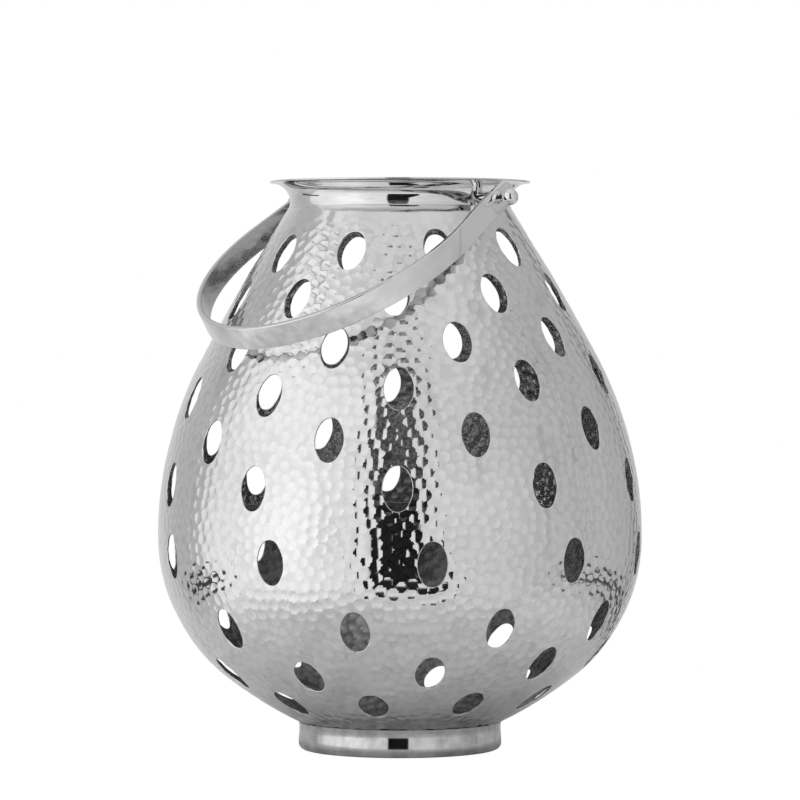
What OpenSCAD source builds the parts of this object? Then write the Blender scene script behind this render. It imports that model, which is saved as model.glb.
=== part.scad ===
// Hammered steel candle lantern: two punched shells welded at the belly, a flared
// neck collar, a foot ring, and a flat strap bail on ball-headed pivots.
// The origin is on the table under the centre, +Z is up and the bail turns about X.

/* [Body shells] */
// Diameter of the belly at its widest
belly_d = 271; // [250:1:300]
// Height of the widest place above the table
belly_z = 119.5; // [110:0.5:126]
// Height of the weld between the two shells
seam_z = 131.5; // [128:0.5:136]
// Thickness of the steel sheet of every shell and ring
sheet_t = 1; // [0.7:0.1:1.6]
// Profile radius just above the belly
upper_belly_r = 214; // [180:1:240]
// Turn of that arc, as a share of the turn at which the shoulder would be straight
upper_belly_share = 0.925; // [0.8:0.005:0.96]
// Profile radius just below the belly
lower_belly_r = 100; // [90:1:106]
// Turn of that arc, as a share of the turn at which the base would be straight
lower_belly_share = 0.8757; // [0.7:0.0001:0.95]

/* [Punched holes] */
// Width of a hole round the body
hole_w = 16; // [14:0.5:18]
// Length of a hole up the body
hole_len = 24.5; // [21:0.5:27]
// End radius of a hole
hole_end_r = 5.875; // [5:0.125:6.5]
// Holes in each ring
holes_per_ring = 10; // [6:1:12]
// Side on which every ring was begun, in degrees from the front towards +X
ring_side = 44.5; // [0:0.5:90]
// How far the upper holes opposite that side have drifted, in degrees
upper_ring_drift = 4; // [-6:0.5:6]
// How far the lower holes opposite that side have drifted, in degrees
lower_ring_drift = -5.5; // [-6:0.5:6]

/* [Neck collar] */
// Outer diameter at the waist of the neck
neck_d = 123; // [112:1:132]
// Height of the waist
waist_z = 305.8; // [295:0.1:315]
// Radius of the flare above the waist
flare_r = 10.8; // [9:0.1:14]
// Radius of the skirt below the waist
skirt_r = 6; // [4:0.5:8]
// Turn of the skirt, in degrees
skirt_turn = 30; // [20:1:36]

/* [Foot ring] */
// Outer diameter of the foot ring
foot_d = 113.6; // [100:0.2:130]
// Height of the foot ring, up to the floor of the lower shell
foot_height = 15.5; // [12:0.5:20]
// Radius of its bottom corner
foot_corner_r = 3.5; // [2:0.5:6]
// Width of the flat that turns inwards at its bottom
foot_flange_w = 5; // [3:0.5:10]

/* [Bail] */
// Width of the strap
strap_w = 13.5; // [10:0.5:16]
// Thickness of the strap
strap_t = 3; // [2:0.1:3.6]
// Reach from the pivots to the outside of the bow
bail_reach = 142.4; // [138:0.1:146]
// Angle by which the resting bail stays clear of the shoulder, in degrees
bail_rest_lift = 2.3; // [1.5:0.1:8]
// Gap between the lip of the neck and the inside of each leg
lip_gap = 3.2; // [1:0.1:4]
// Length of the flat eye pad beyond the pivot, on the side of the leg
pad_len = 9; // [8:0.5:14]
// Length of the strap behind the pivot, up to its round end
eye_overhang = 3; // [0:0.5:4]
// Radius of the bend between pad and leg
pad_bend_r = 30; // [15:1:60]
// Outward lean of each leg, in degrees
leg_lean = 8.5; // [3:0.5:10]
// Length of each straight leg
leg_len = 24.5; // [20:0.5:32]
// Turn of each side of the bow, in degrees
side_turn = 51; // [40:1:60]

/* [Pivots] */
// Height of the pivot axis above the waist of the neck
pivot_rise = 1.4; // [0:0.1:2.4]
// Diameter of the stud
stud_d = 4; // [3:0.1:5]
// Radial clearance of the bail's eye on the stud
eye_clearance = 0.08; // [0.04:0.01:0.1]
// Radial clearance of the other bores on the stud
bore_clearance = 0.1; // [0.05:0.01:0.2]
// Side clearance of the strap between spacer and knob
side_gap = 0.3; // [0.2:0.05:0.4]
// Outer diameter of the spacer sleeve
spacer_d = 7; // [6.4:0.1:9]
// Diameter of the ball knob
knob_d = 9; // [8:0.1:12]
// Length of the collar under the ball
knob_collar_len = 1.4; // [0.5:0.1:2]
// Diameter of the collar under the ball
knob_collar_d = 5.6; // [5.4:0.1:7]
// Diameter of the washer inside the neck
washer_d = 9; // [8:0.1:11]
// Thickness of that washer
washer_t = 0.8; // [0.5:0.1:1.2]
// Size of the nut inside the neck across its corners
nut_d = 8; // [7:0.1:9]
// Thickness of that nut
nut_t = 3.2; // [2:0.1:4]
// Stud that shows past the nut
stud_tail = 1; // [0.5:0.1:2]

/* [Hidden] */
$fn = 96;
// Sides of a hexagon
hex_sides = 6;
// Overrun of every cut past the face that it opens
cut_over = 2;
// Overrun of an arc past the line that it runs into
arc_overrun = 0.01;
// Sides of the large circles, and of the largest
large_sides = 360;
shoulder_sides = 1440;

belly_r = belly_d / 2;
neck_r = neck_d / 2;
foot_r = foot_d / 2;
stud_r = stud_d / 2;
bore_r = stud_r + bore_clearance;
lip_r = neck_r + flare_r + sheet_t / 2;
lip_z = waist_z + flare_r + sheet_t;
pivot_z = waist_z + pivot_rise;

// Rings of the upper shell, each [height share from weld to neck, start share of the
// pitch, sway share of the hole length, spread share of the pitch]: hand-punched rings
// wander like this
upper_ring_shares = [
    [0.114, -0.016, 0.06, 0],
    [0.271, -0.485, 0.19, -0.013],
    [0.423, -0.009, 0.28, 0.004],
    [0.558, 0.467, 0.21, 0.009],
    [0.712, -0.049, 0.1, -0.01],
    [0.859, 0.436, 0.09, 0]
];
// Rings of the lower shell, with heights as shares from foot to weld
lower_ring_shares = [
    [0.821, 0.194, 0.01, 0.046],
    [0.505, -0.298, 0.08, 0.027],
    [0.295, 0.239, 0.22, 0],
    [0.131, -0.272, 0.05, 0.01]
];

// Unit vector at an angle from the +r direction
function unit(angle) = [cos(angle), sin(angle)];

// Profile arcs are [centre, radius, sides]. This one touches a place whose outward
// normal is at an angle, and passes through another place
function tangent_arc(place, angle, through, sides) =
    let (span = through - place, radius = -span * span / (2 * unit(angle) * span))
    [place - radius * unit(angle), radius, sides];
// This one has its widest place at the belly
function belly_arc(radius) = [[belly_r - radius, belly_z], radius, large_sides];
function arc_place(arc, angle, inset = 0) = arc[0] + (arc[1] - inset) * unit(angle);
function arc_r(arc, z) = arc[0][0] + sqrt(pow(arc[1], 2) - pow(z - arc[0][1], 2));
function arc_tilt(arc, z) = asin((z - arc[0][1]) / arc[1]);

// The collar's skirt meets the shoulder here, and the foot ring meets the floor there
skirt_centre = [neck_r + skirt_r, waist_z];
neck_seat = skirt_centre - skirt_r * unit(skirt_turn);
foot_seat = [foot_r, foot_height];

// Turn at which the tangent of a belly arc passes through a place
function tangent_turn(arc, through) =
    let (span = through - arc[0]) atan2(abs(span[1]), span[0]) - acos(arc[1] / norm(span));

// The four arcs of the body, from the neck down
upper_arc = belly_arc(upper_belly_r);
lower_arc = belly_arc(lower_belly_r);
upper_belly_turn = upper_belly_share * tangent_turn(upper_arc, neck_seat);
lower_belly_turn = lower_belly_share * tangent_turn(lower_arc, foot_seat);
shoulder_place = arc_place(upper_arc, upper_belly_turn);
base_place = arc_place(lower_arc, -lower_belly_turn);
shoulder_arc = tangent_arc(shoulder_place, upper_belly_turn, neck_seat, shoulder_sides);
base_arc = tangent_arc(base_place, -lower_belly_turn, foot_seat, large_sides);

// The arc that the outer face follows at a height
function body_arc(z) =
    z > shoulder_place[1] ? shoulder_arc :
    z > belly_z ? upper_arc :
    z > base_place[1] ? lower_arc : base_arc;

// Half outline of the space inside one profile arc, between two heights
module arc_slice(arc, inset, low_z, high_z) {
    intersection() {
        translate(arc[0]) circle(r = arc[1] - inset, $fn = arc[2]);
        polygon([[0, low_z], [belly_d, low_z], [belly_d, high_z], [0, high_z]]);
    }
}

// Half outline of the lower shell, set in from the outer face
module lower_outline(inset, low_z, high_z) {
    base_z = arc_place(base_arc, -lower_belly_turn, inset)[1];
    arc_slice(base_arc, inset, low_z, base_z);
    arc_slice(lower_arc, inset, base_z, belly_z);
    arc_slice(upper_arc, inset, belly_z, high_z);
}

// Half outline of the upper shell, set in from the outer face
module upper_outline(inset, low_z, high_z) {
    shoulder_z = arc_place(upper_arc, upper_belly_turn, inset)[1];
    arc_slice(upper_arc, inset, low_z, shoulder_z);
    arc_slice(shoulder_arc, inset, shoulder_z, high_z);
}

// Flat ring sector between two radii
module arc_band(centre, inner, outer, from_angle, sweep) {
    reach = 2 * outer;
    translate(centre) intersection() {
        difference() {
            circle(outer);
            circle(inner);
        }
        polygon([[0, 0], reach * unit(from_angle), reach * unit(from_angle + sweep / 2),
            reach * unit(from_angle + sweep)]);
    }
}

module oval(w, l, end_r) {
    end_y = l / 2 - end_r;
    side_r = (w * w / 4 + end_y * end_y - end_r * end_r) / (w - 2 * end_r);
    side_x = side_r - w / 2;
    meet_y = end_y * side_r / (side_r - end_r);
    intersection() {
        translate([side_x, 0]) circle(side_r);
        translate([-side_x, 0]) circle(side_r);
        square([2 * w, 2 * meet_y], center = true);
    }
    for (s = [-1, 1]) translate([0, s * end_y]) circle(end_r + arc_overrun / 4);
}

// One oval punch, square to the sheet at a height, an angle from the front towards +X
module punch(z, angle) {
    arc = body_arc(z);
    rotate([0, 0, angle - 90])
        translate([arc_r(arc, z), 0, z])
            rotate([0, -arc_tilt(arc, z), 0])
                rotate([90, 0, 90])
                    linear_extrude(height = hole_w, center = true)
                        oval(hole_w, hole_len, hole_end_r);
}

// All the punches of one shell between two heights
module ring_punches(shares, drift, low_z, high_z) {
    pitch = 360 / holes_per_ring;
    for (ring = shares, k = [0 : holes_per_ring - 1]) {
        even_turn = pitch * (k + ring[1]);
        turn = even_turn + drift * pow(sin(k * pitch / 2), 2)
            + ring[3] * pitch * sin(2 * even_turn);
        z = low_z + ring[0] * (high_z - low_z) + ring[2] * hole_len * sin(turn);
        punch(z, ring_side + turn);
    }
}

module lower_shell() {
    color("silver")
        difference() {
            rotate_extrude()
                difference() {
                    lower_outline(0, foot_height, seam_z);
                    lower_outline(sheet_t, foot_height + sheet_t, seam_z + cut_over);
                }
            ring_punches(lower_ring_shares, lower_ring_drift, foot_height, seam_z);
        }
}

module upper_shell() {
    color("silver")
        difference() {
            rotate_extrude()
                difference() {
                    upper_outline(0, seam_z, neck_seat[1]);
                    upper_outline(sheet_t, seam_z - cut_over, neck_seat[1] + cut_over);
                    // The top edge is square to the skirt of the collar that sits on it
                    translate(neck_seat) rotate(skirt_turn)
                        translate([-2 * cut_over, 0]) square([3 * cut_over, cut_over]);
                }
            ring_punches(upper_ring_shares, upper_ring_drift, seam_z, neck_seat[1]);
        }
}

// Bore through the neck wall on both sides for the studs
module stud_bores(r) {
    translate([0, 0, pivot_z]) rotate([0, 90, 0])
        cylinder(h = 2 * (neck_r + cut_over), r = r, center = true);
}

flare_centre = [neck_r + flare_r, waist_z];

module neck_collar() {
    color("gainsboro")
        difference() {
            rotate_extrude() {
                arc_band(skirt_centre, skirt_r, skirt_r + sheet_t, 180, skirt_turn);
                arc_band(flare_centre, flare_r, flare_r + sheet_t, 90, 90);
                // Rounded edge of the lip
                translate([neck_r + flare_r, lip_z - sheet_t / 2]) circle(d = sheet_t);
            }
            stud_bores(bore_r);
        }
}

// Solid inside the outer face of the collar, which the spacers are cut to fit
module neck_form() {
    rotate_extrude() {
        difference() {
            translate([0, waist_z]) square([flare_centre[0], flare_r]);
            translate(flare_centre) circle(flare_r);
        }
        difference() {
            translate([0, neck_seat[1]]) square([skirt_centre[0], waist_z - neck_seat[1]]);
            translate(skirt_centre) circle(skirt_r);
        }
    }
}

module foot_ring() {
    flange_x = foot_r - foot_corner_r;
    color("gainsboro")
        rotate_extrude() {
            translate([foot_r - sheet_t, foot_corner_r])
                square([sheet_t, foot_height - foot_corner_r]);
            arc_band([flange_x, foot_corner_r], foot_corner_r - sheet_t, foot_corner_r, 270, 90);
            translate([flange_x - foot_flange_w, 0]) square([foot_flange_w, sheet_t]);
        }
}

// Inside and outside faces of the strap at the pivots, along X
strap_in_x = lip_r + lip_gap;
strap_out_x = strap_in_x + strap_t;

// Right half of the bail's outside line in its own plane, [x, distance from the pivots]
bend_centre = [strap_out_x + pad_bend_r, pad_len];
leg_start = bend_centre - pad_bend_r * unit(-leg_lean);
leg_end = leg_start + leg_len * unit(90 - leg_lean);
// The radii of the two arcs follow from where the leg ends and the reach of the bow
bow_gap = [-leg_end[0], bail_reach - leg_end[1]];
side_step = unit(side_turn) - unit(-leg_lean);
top_step = unit(90) - unit(side_turn);
step_area = side_step[0] * top_step[1] - side_step[1] * top_step[0];
bow_side_r = (bow_gap[0] * top_step[1] - bow_gap[1] * top_step[0]) / step_area;
bow_top_r = (side_step[0] * bow_gap[1] - side_step[1] * bow_gap[0]) / step_area;
side_centre = leg_end - bow_side_r * unit(-leg_lean);
top_centre = [0, bail_reach - bow_top_r];

// Right half of the space inside the bail's outside line, set in from it. Each piece of
// the line laps over the one before it and crosses it at a flat angle
module bail_outline(inset, low) {
    leg_top = leg_end - inset * unit(-leg_lean);
    side_top = side_centre + (bow_side_r - inset) * unit(side_turn);
    lap = strap_w / 2;
    difference() {
        polygon([[0, low], [strap_out_x - inset, low], [strap_out_x - inset, pad_len],
            leg_start - inset * unit(-leg_lean), leg_top, [0, leg_top[1]]]);
        translate(bend_centre) circle(pad_bend_r + inset + arc_overrun);
    }
    arc_slice([side_centre, bow_side_r + arc_overrun, large_sides],
        inset, leg_top[1] - lap, side_top[1]);
    arc_slice([top_centre, bow_top_r + 4 * arc_overrun, large_sides],
        inset, side_top[1] - lap, 2 * bail_reach);
}

module strap_edge() {
    difference() {
        bail_outline(0, -eye_overhang);
        bail_outline(strap_t, -eye_overhang - cut_over);
    }
}

// The bail lying flat, with its bow towards +Y
module flat_bail() {
    difference() {
        union() {
            linear_extrude(height = strap_w, center = true) {
                strap_edge();
                mirror([1, 0]) strap_edge();
            }
            // Round ends of the eyes
            for (side = [-1, 1])
                translate([side * (strap_in_x + strap_t / 2), -eye_overhang, 0])
                    rotate([0, 90, 0]) cylinder(h = strap_t, d = strap_w, center = true);
        }
        rotate([0, 90, 0])
            cylinder(h = 2 * (strap_out_x + cut_over), r = stud_r + eye_clearance, center = true);
    }
}

// The inner lower edge of the bow is what would touch the shoulder first
edge_reach = norm([bail_reach - strap_t, strap_w / 2]);
edge_droop = atan2(strap_w / 2, bail_reach - strap_t);
shoulder_span = shoulder_arc[0] - [0, pivot_z];
touch_share = (pow(norm(shoulder_span), 2) + pow(edge_reach, 2) - pow(shoulder_arc[1], 2))
    / (2 * norm(shoulder_span) * edge_reach);
touch_droop = -atan2(shoulder_span[1], shoulder_span[0]) - acos(touch_share);
bail_droop = touch_droop - edge_droop - bail_rest_lift;

module bail_handle() {
    color("lightgray")
        translate([0, 0, pivot_z]) rotate([bail_droop, 0, 0]) mirror([0, 1, 0]) flat_bail();
}

// Puts a piece drawn outwards along +Z from the centre on the pivot axis of one side
module on_pivot(side) {
    translate([0, 0, pivot_z]) rotate([0, side * 90, 0]) children();
}

// Places along the pivot axis, from inside the neck to the tip of the knob
spacer_end = strap_in_x - side_gap;
knob_start = strap_out_x + side_gap;
knob_centre = knob_start + knob_collar_len + sqrt(pow(knob_d, 2) - pow(knob_collar_d, 2)) / 2;
neck_in_r = neck_r - sheet_t;
washer_seat = sqrt(pow(neck_in_r, 2) - pow(washer_d / 2, 2));
nut_seat = washer_seat - washer_t;
stud_start = nut_seat - nut_t - stud_tail;

module stud(side) {
    color("silver") on_pivot(side)
        translate([0, 0, stud_start]) cylinder(h = knob_centre - stud_start, r = stud_r);
}

module spacer(side) {
    color("gainsboro")
        difference() {
            on_pivot(side)
                difference() {
                    translate([0, 0, neck_in_r]) cylinder(h = spacer_end - neck_in_r, d = spacer_d);
                    cylinder(h = spacer_end + cut_over, r = bore_r);
                }
            neck_form();
        }
}

module ball_knob(side) {
    color("gainsboro") on_pivot(side)
        difference() {
            union() {
                translate([0, 0, knob_centre]) sphere(d = knob_d);
                translate([0, 0, knob_start])
                    cylinder(h = knob_centre - knob_start, d = knob_collar_d);
            }
            cylinder(h = knob_centre, r = stud_r);
        }
}

module inner_washer(side) {
    color("silver") on_pivot(side)
        difference() {
            translate([0, 0, nut_seat]) cylinder(h = washer_t, d = washer_d);
            cylinder(h = neck_r, r = bore_r);
        }
}

module inner_nut(side) {
    color("silver") on_pivot(side)
        difference() {
            translate([0, 0, nut_seat - nut_t]) cylinder(h = nut_t, d = nut_d, $fn = hex_sides);
            cylinder(h = neck_r, r = stud_r);
        }
}

lower_shell();
upper_shell();
neck_collar();
foot_ring();
bail_handle();
stud(1);  // right_stud
stud(-1);  // left_stud
spacer(1);  // right_spacer
spacer(-1);  // left_spacer
ball_knob(1);  // right_ball_knob
ball_knob(-1);  // left_ball_knob
inner_washer(1);  // right_inner_washer
inner_washer(-1);  // left_inner_washer
inner_nut(1);  // right_inner_nut
inner_nut(-1);  // left_inner_nut
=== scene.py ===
import math

import bpy
import numpy as np
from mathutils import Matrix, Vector
from mathutils.geometry import delaunay_2d_cdt


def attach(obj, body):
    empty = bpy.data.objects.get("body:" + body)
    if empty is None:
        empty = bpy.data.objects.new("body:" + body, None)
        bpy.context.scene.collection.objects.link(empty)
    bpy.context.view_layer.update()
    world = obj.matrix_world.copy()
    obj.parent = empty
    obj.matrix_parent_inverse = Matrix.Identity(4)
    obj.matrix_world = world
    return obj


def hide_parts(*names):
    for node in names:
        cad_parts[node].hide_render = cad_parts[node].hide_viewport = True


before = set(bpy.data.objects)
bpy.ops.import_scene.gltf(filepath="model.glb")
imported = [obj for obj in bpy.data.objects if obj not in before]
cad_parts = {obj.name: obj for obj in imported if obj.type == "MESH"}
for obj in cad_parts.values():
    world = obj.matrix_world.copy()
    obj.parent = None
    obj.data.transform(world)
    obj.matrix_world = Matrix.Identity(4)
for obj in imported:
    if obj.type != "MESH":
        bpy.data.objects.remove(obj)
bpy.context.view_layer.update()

# All sizes are in millimetres until a mesh is made. Less than TINY counts as nothing
MM = 0.001
TINY = 1e-6
BODY, BAIL = "lantern_body", "bail"

# Sheet body: the same arcs as the solids
BELLY_R, BELLY_Z, SEAM_Z = 135.5, 119.5, 131.5
SHEET = 1.0
UPPER_R, UPPER_SHARE = 214.0, 0.925
LOWER_R, LOWER_SHARE = 100.0, 0.8757
FOOT_R, FOOT_H = 56.8, 15.5
FOOT_CORNER_R, FOOT_FLANGE = 3.5, 5.0
NECK_R, WAIST_Z = 61.5, 305.8
FLARE_R, SKIRT_R, SKIRT_TURN = 10.8, 6.0, 30.0
LIP_R = NECK_R + FLARE_R + SHEET / 2
LIP_Z = WAIST_Z + FLARE_R + SHEET

# Holes. A ring is [height, start, sway, spread], all as shares
HOLE_W, HOLE_LEN, HOLE_END_R = 16.0, 24.5, 5.875
HOLES, RING_SIDE, UPPER_DRIFT, LOWER_DRIFT = 10, 44.5, 4.0, -5.5
UPPER_RING_SHARES = [
    (0.114, -0.016, 0.06, 0), (0.271, -0.485, 0.19, -0.013), (0.423, -0.009, 0.28, 0.004),
    (0.558, 0.467, 0.21, 0.009), (0.712, -0.049, 0.1, -0.01), (0.859, 0.436, 0.09, 0)]
LOWER_RING_SHARES = [
    (0.821, 0.194, 0.01, 0.046), (0.505, -0.298, 0.08, 0.027),
    (0.295, 0.239, 0.22, 0), (0.131, -0.272, 0.05, 0.01)]

# Bail
STRAP_W, STRAP_T = 13.5, 3.0
BAIL_REACH, BAIL_REST_LIFT = 142.4, 2.3
LIP_GAP, PAD_LEN, EYE_OVERHANG, PAD_BEND_R = 3.2, 9.0, 3.0, 30.0
LEG_LEAN, LEG_LEN, SIDE_TURN = 8.5, 24.5, 51.0
PIVOT_RISE = 1.4
PIVOT_Z = WAIST_Z + PIVOT_RISE
STUD_R, SIDE_GAP = 2.0, 0.3
KNOB_R, KNOB_COLLAR_R, KNOB_COLLAR_LEN = 4.5, 2.8, 1.4

# Camera, as the photograph was taken
CAMERA_TURN, CAMERA_DISTANCE, CAMERA_Z, CAMERA_AIM_Z = 44.5, 2296.0, 240.0, 195.3
CAMERA_LENS, CAMERA_SENSOR = 184.5, 36.0


def unit(degrees):
    """Unit vector at an angle from the first axis."""
    a = math.radians(degrees)
    return np.array([math.cos(a), math.sin(a)])


def even_turns(columns):
    """Angles of columns set evenly round the axis, in radians."""
    return np.arange(columns) * 2 * np.pi / columns


def outward(phi):
    """Level unit vectors away from the axis. phi is in radians from the front towards +X."""
    return np.stack([np.sin(phi), -np.cos(phi), np.zeros_like(phi)], -1)


def normalised(vectors):
    return vectors / np.linalg.norm(vectors, axis=-1, keepdims=True)


def smooth_step(t):
    """0 up to t = 0 and 1 from t = 1, level at both ends."""
    t = np.clip(t, 0, 1)
    return t * t * (3 - 2 * t)


def add_object(name, data):
    """A new object in the scene."""
    piece = bpy.data.objects.new(name, data)
    bpy.context.scene.collection.objects.link(piece)
    return piece


# meridian of the body

# Places in the table that gives the walk at a height
WALK_STEPS = 20001


def tangent_arc(place, degrees, through):
    """(centre, radius) of the circle with this normal at place that passes through a point."""
    span = np.array(through) - place
    radius = -(span @ span) / (2 * (unit(degrees) @ span))
    return place - radius * unit(degrees), radius


def tangent_turn(centre, radius, through):
    """Turn at which the tangent of a circle passes through a point, in degrees."""
    span = through - centre
    return math.degrees(math.atan2(abs(span[1]), span[0])
                        - math.acos(radius / np.linalg.norm(span)))


NECK_SEAT = np.array([NECK_R + SKIRT_R, WAIST_Z]) - SKIRT_R * unit(SKIRT_TURN)
FOOT_SEAT = np.array([FOOT_R, FOOT_H])
upper_centre = np.array([BELLY_R - UPPER_R, BELLY_Z])
lower_centre = np.array([BELLY_R - LOWER_R, BELLY_Z])
UPPER_TURN = UPPER_SHARE * tangent_turn(upper_centre, UPPER_R, NECK_SEAT)
LOWER_TURN = LOWER_SHARE * tangent_turn(lower_centre, LOWER_R, FOOT_SEAT)
shoulder_centre, SHOULDER_R = tangent_arc(
    upper_centre + UPPER_R * unit(UPPER_TURN), UPPER_TURN, NECK_SEAT)
base_centre, BASE_R = tangent_arc(
    lower_centre + LOWER_R * unit(-LOWER_TURN), -LOWER_TURN, FOOT_SEAT)


def height_angle(centre, radius, z):
    """Angle of a circle's normal at a height, in degrees."""
    return math.degrees(math.asin((z - centre[1]) / radius))


SEAM_ANGLE = height_angle(upper_centre, UPPER_R, SEAM_Z)
BASE_ANGLE = height_angle(base_centre, BASE_R, FOOT_H)
NECK_ANGLE = height_angle(shoulder_centre, SHOULDER_R, NECK_SEAT[1])
# Each arc from the foot up: centre, radius, first and last angle of its normal
ARCS = [(base_centre, BASE_R, BASE_ANGLE, -LOWER_TURN),
        (lower_centre, LOWER_R, -LOWER_TURN, 0.0),
        (upper_centre, UPPER_R, 0.0, UPPER_TURN),
        (shoulder_centre, SHOULDER_R, UPPER_TURN, NECK_ANGLE)]
ARC_ENDS = np.concatenate([[0], np.cumsum([math.radians(b - a) * r for _, r, a, b in ARCS])])
S_SEAM = ARC_ENDS[2] + math.radians(SEAM_ANGLE) * UPPER_R
S_TOP = ARC_ENDS[-1]


def meridian(s):
    """Radius, height and normal angle (radians) of the outer face at a walk s up from the foot."""
    s = np.asarray(s, float)
    k = np.clip(np.searchsorted(ARC_ENDS, s, side="right") - 1, 0, len(ARCS) - 1)
    centre = np.array([a[0] for a in ARCS])[k]
    radius = np.array([a[1] for a in ARCS])[k]
    start = np.radians([a[2] for a in ARCS])[k]
    angle = start + (s - ARC_ENDS[k]) / radius
    return centre[..., 0] + radius * np.cos(angle), centre[..., 1] + radius * np.sin(angle), angle


def walk_at(z):
    """Walk up from the foot at a height of the outer face."""
    table = np.linspace(0, S_TOP, WALK_STEPS)
    return float(np.interp(z, meridian(table)[1], table))


def surface(phi, s):
    """Places and normals of the smooth outer face."""
    r, z, angle = meridian(s)
    out = outward(phi)
    place = out * r[..., None]
    place[..., 2] = z
    normal = out * np.cos(angle)[..., None]
    normal[..., 2] = np.sin(angle)
    return place, normal


# hammered dents

DENT_PITCH = 6.7
DENT_ROW = DENT_PITCH * math.sqrt(3) / 2
# Rows of dents that lie below the foot, and that lie past both ends in all
ROWS_BELOW, ROWS_PAST = 1.5, 4
# Shares of the spacing: a dent's jitter, how far dents push each other, and how strongly
DENT_JITTER, DENT_REACH, DENT_PUSH = 0.6, 1.1, 0.2
PUSH_LIMIT, PUSH_ROUNDS = 1.0, 7
# Rows and columns of dents that are looked at about a place, more rows while they are pushed
NEAR_ROWS, PUSH_ROWS, NEAR_COLUMNS = range(-1, 3), range(-2, 4), range(-2, 3)
# Radius of a dent's outline, of its cup, and how softly cup and land meet
DENT_R, DENT_R_SPREAD = 3.1, 0.35
CUP_R, CUP_R_SPREAD = 25.5, 3.5
RIDGE = 0.003
# Bounds on a cup's depth, which is negative beyond its outline
CUP_LEAST, CUP_MOST = -0.2, 1.0
# Depth at which the sheet no longer counts as the land between dents
LAND_DEPTH = 0.025
# The sheet is smooth in a band under the neck, and the dents fade towards it
SMOOTH_BAND, SMOOTH_FADE = 3.0, 16.0
dice = np.random.default_rng(7)


def neighbours(phi, s, dents, rows, columns):
    """Distances round and up from dents in the rows and columns about each place."""
    counts, step, phase, dent_phi, dent_s = dents
    r = meridian(np.clip(s, 0, S_TOP))[0]
    middle = np.floor(s / DENT_ROW + ROWS_BELOW).astype(int)
    for dk in rows:
        k = np.clip(middle + dk, 0, len(counts) - 1)
        nearest = np.round((phi - phase[k]) / step[k]).astype(int)
        for dm in columns:
            m = (nearest + dm) % counts[k]
            a = (phi - dent_phi[k, m] + np.pi) % (2 * np.pi) - np.pi
            yield a * r, s - dent_s[k, m], k, m


def lay_dents():
    """Dents in wandering rows round the body, pushed apart over a fixed number of rounds."""
    rows = int(S_TOP / DENT_ROW) + ROWS_PAST
    row_s = (np.arange(rows) - ROWS_BELOW) * DENT_ROW
    row_r = meridian(np.clip(row_s, 0, S_TOP))[0]
    counts = np.round(2 * np.pi * row_r / DENT_PITCH).astype(int)
    shape = (rows, counts.max())
    step = 2 * np.pi / counts
    phase = dice.uniform(0, 1, rows) * step
    jitter = dice.uniform(-1, 1, (2,) + shape) * DENT_JITTER
    phi = phase[:, None] + (np.arange(shape[1]) + jitter[0]) * step[:, None]
    s = row_s[:, None] + jitter[1] * DENT_ROW
    reach = DENT_REACH * DENT_PITCH
    scale = DENT_PUSH * DENT_PITCH
    for _ in range(PUSH_ROUNDS):
        push_x, push_y = np.zeros(shape), np.zeros(shape)
        for x, y, _, _ in neighbours(phi, s, (counts, step, phase, phi, s), PUSH_ROWS, NEAR_COLUMNS):
            d = np.hypot(x, y)
            strength = np.where(d > TINY, np.clip(1 - d / reach, 0, 1), 0) / np.maximum(d, TINY)
            push_x += strength * x
            push_y += strength * y
        phi = phi + np.clip(push_x * scale, -PUSH_LIMIT, PUSH_LIMIT) / row_r[:, None]
        s = s + np.clip(push_y * scale, -PUSH_LIMIT, PUSH_LIMIT)
    outline = DENT_R + DENT_R_SPREAD * dice.uniform(-1, 1, shape)
    cup = CUP_R + CUP_R_SPREAD * dice.uniform(-1, 1, shape)
    return (counts, step, phase, phi, s), outline, cup


DENTS, DENT_OUTLINES, DENT_CUPS = lay_dents()


def hammering(phi, s):
    """Height of the hammered face over the smooth one, its slopes round and up the body, and
    its share of land between dents."""
    total = np.ones_like(s)
    slope_round, slope_up = np.zeros_like(s), np.zeros_like(s)
    for x, y, k, m in neighbours(phi, s, DENTS, NEAR_ROWS, NEAR_COLUMNS):
        cup, outline = DENT_CUPS[k, m], DENT_OUTLINES[k, m]
        depth = np.minimum((outline ** 2 - x * x - y * y) / (2 * cup), CUP_MOST)
        weight = np.exp(np.maximum(depth, CUP_LEAST) / RIDGE)
        total += weight
        slope_round += weight * x / cup
        slope_up += weight * y / cup
    height = -RIDGE * np.log(total)
    fade = smooth_step((S_TOP - SMOOTH_BAND - s) / SMOOTH_FADE)
    land = np.clip(1 + height / LAND_DEPTH, 0, 1)
    return height * fade, slope_round / total * fade, slope_up / total * fade, land * fade


# Slow waves of the sheet: amount, waves round the body, length up the body, start
WAVES = [(0.05, 7, 160.0, 0.4), (0.04, 13, -95.0, 1.9), (0.03, 19, 61.0, 3.3),
         (0.03, -11, 47.0, 5.1)]


def waves(phi, s):
    """Slow unevenness of the hand-worked sheet: height and slopes, as above."""
    r = meridian(np.clip(s, 0, S_TOP))[0]
    height, slope_round, slope_up = (np.zeros_like(s) for _ in range(3))
    for amount, turns, length, start in WAVES:
        t = turns * phi + s * 2 * np.pi / length + start
        height += amount * (np.sin(t) - 1)
        slope_round += amount * np.cos(t) * turns / r
        slope_up += amount * np.cos(t) * 2 * np.pi / length
    return height, slope_round, slope_up


# Groove of the girth weld, which only the inner face has
WELD_DEPTH, WELD_HALF_W = 0.14, 0.45


def weld(s):
    """How near a place is to the girth weld, from 0 to 1, and its slope up the body."""
    t = (s - S_SEAM) / WELD_HALF_W
    near = np.exp(-t * t)
    return near, -2 * t / WELD_HALF_W * near


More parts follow.
